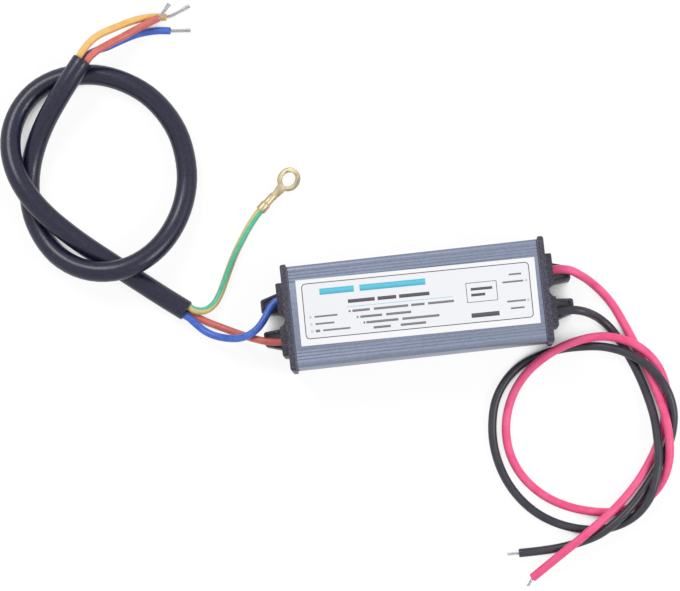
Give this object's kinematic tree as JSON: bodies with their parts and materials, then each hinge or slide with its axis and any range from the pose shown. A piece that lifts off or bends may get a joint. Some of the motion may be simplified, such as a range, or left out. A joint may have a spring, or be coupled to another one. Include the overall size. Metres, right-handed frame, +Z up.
{
  "type": "led driver",
  "caption": "Splash-proof LED driver: grooved aluminium tube case with slotted moulded end caps, a sheathed mains cable with an earth ring terminal, and silicone output leads.",
  "frame": {"origin": "middle of the case's footprint, on the surface it lies on", "axes": "+X along the case towards the output leads, +Y across the case, +Z up through the label"},
  "size_m": [0.2239, 0.2143, 0.0238],
  "materials": {
    "anodised_aluminium": "matt anodised, drawn lines along the length",
    "label_film": "printed white film",
    "black_abs": "fine moulded grain",
    "gasket_rubber": "soft matt",
    "board_laminate": "green solder mask",
    "insulation_film": "translucent film",
    "black_component": "moulded epoxy",
    "blue_epoxy": "dipped epoxy",
    "yellow_box": "moulded box",
    "ferrite": "sintered",
    "copper_wire": "enamelled copper",
    "can_sleeve": "shrunk sleeve",
    "taped_winding": "polyester tape",
    "resistor_chip": "glazed film",
    "cable_sheath": "satin PVC",
    "blue_pvc": "satin PVC",
    "red_brown_pvc": "satin PVC",
    "green_yellow_pvc": "green PVC with a yellow stripe",
    "yellow_pvc": "satin PVC",
    "brass_sheet": "stamped brass",
    "tinned_strands": "tinned copper strands",
    "red_silicone": "matt silicone",
    "black_silicone": "matt silicone"
  },
  "bodies": {
    "root": {"case_extrusion": "anodised_aluminium", "rating_label": "label_film", "input_end_cap": "black_abs", "output_end_cap": "black_abs", "input_gasket": "gasket_rubber", "output_gasket": "gasket_rubber", "circuit_board": "board_laminate", "insulation_sheet": "insulation_film", "input_fuse": "black_component", "varistor": "blue_epoxy", "x_capacitor": "yellow_box", "choke_core": "ferrite", "choke_windings": "copper_wire", "bridge_rectifier": "black_component", "input_capacitor": "can_sleeve", "transformer_core": "ferrite", "transformer_bobbin": "black_component", "transformer_winding": "taped_winding", "controller_chip": "black_component", "switch_transistor": "black_component", "output_diode": "black_component", "output_capacitor": "can_sleeve", "y_capacitor": "blue_epoxy", "chip_resistors": "resistor_chip", "mains_cable": "cable_sheath", "neutral_lead": "blue_pvc", "live_lead": "red_brown_pvc", "earth_lead": "green_yellow_pvc", "ring_terminal": "brass_sheet", "far_live_core": "red_brown_pvc", "far_neutral_core": "blue_pvc", "far_earth_core": "yellow_pvc", "far_live_tip": "tinned_strands", "far_neutral_tip": "tinned_strands", "far_earth_tip": "tinned_strands", "positive_lead": "red_silicone", "negative_lead": "black_silicone", "positive_tip": "tinned_strands", "negative_tip": "tinned_strands"}
  },
  "joints": []
}
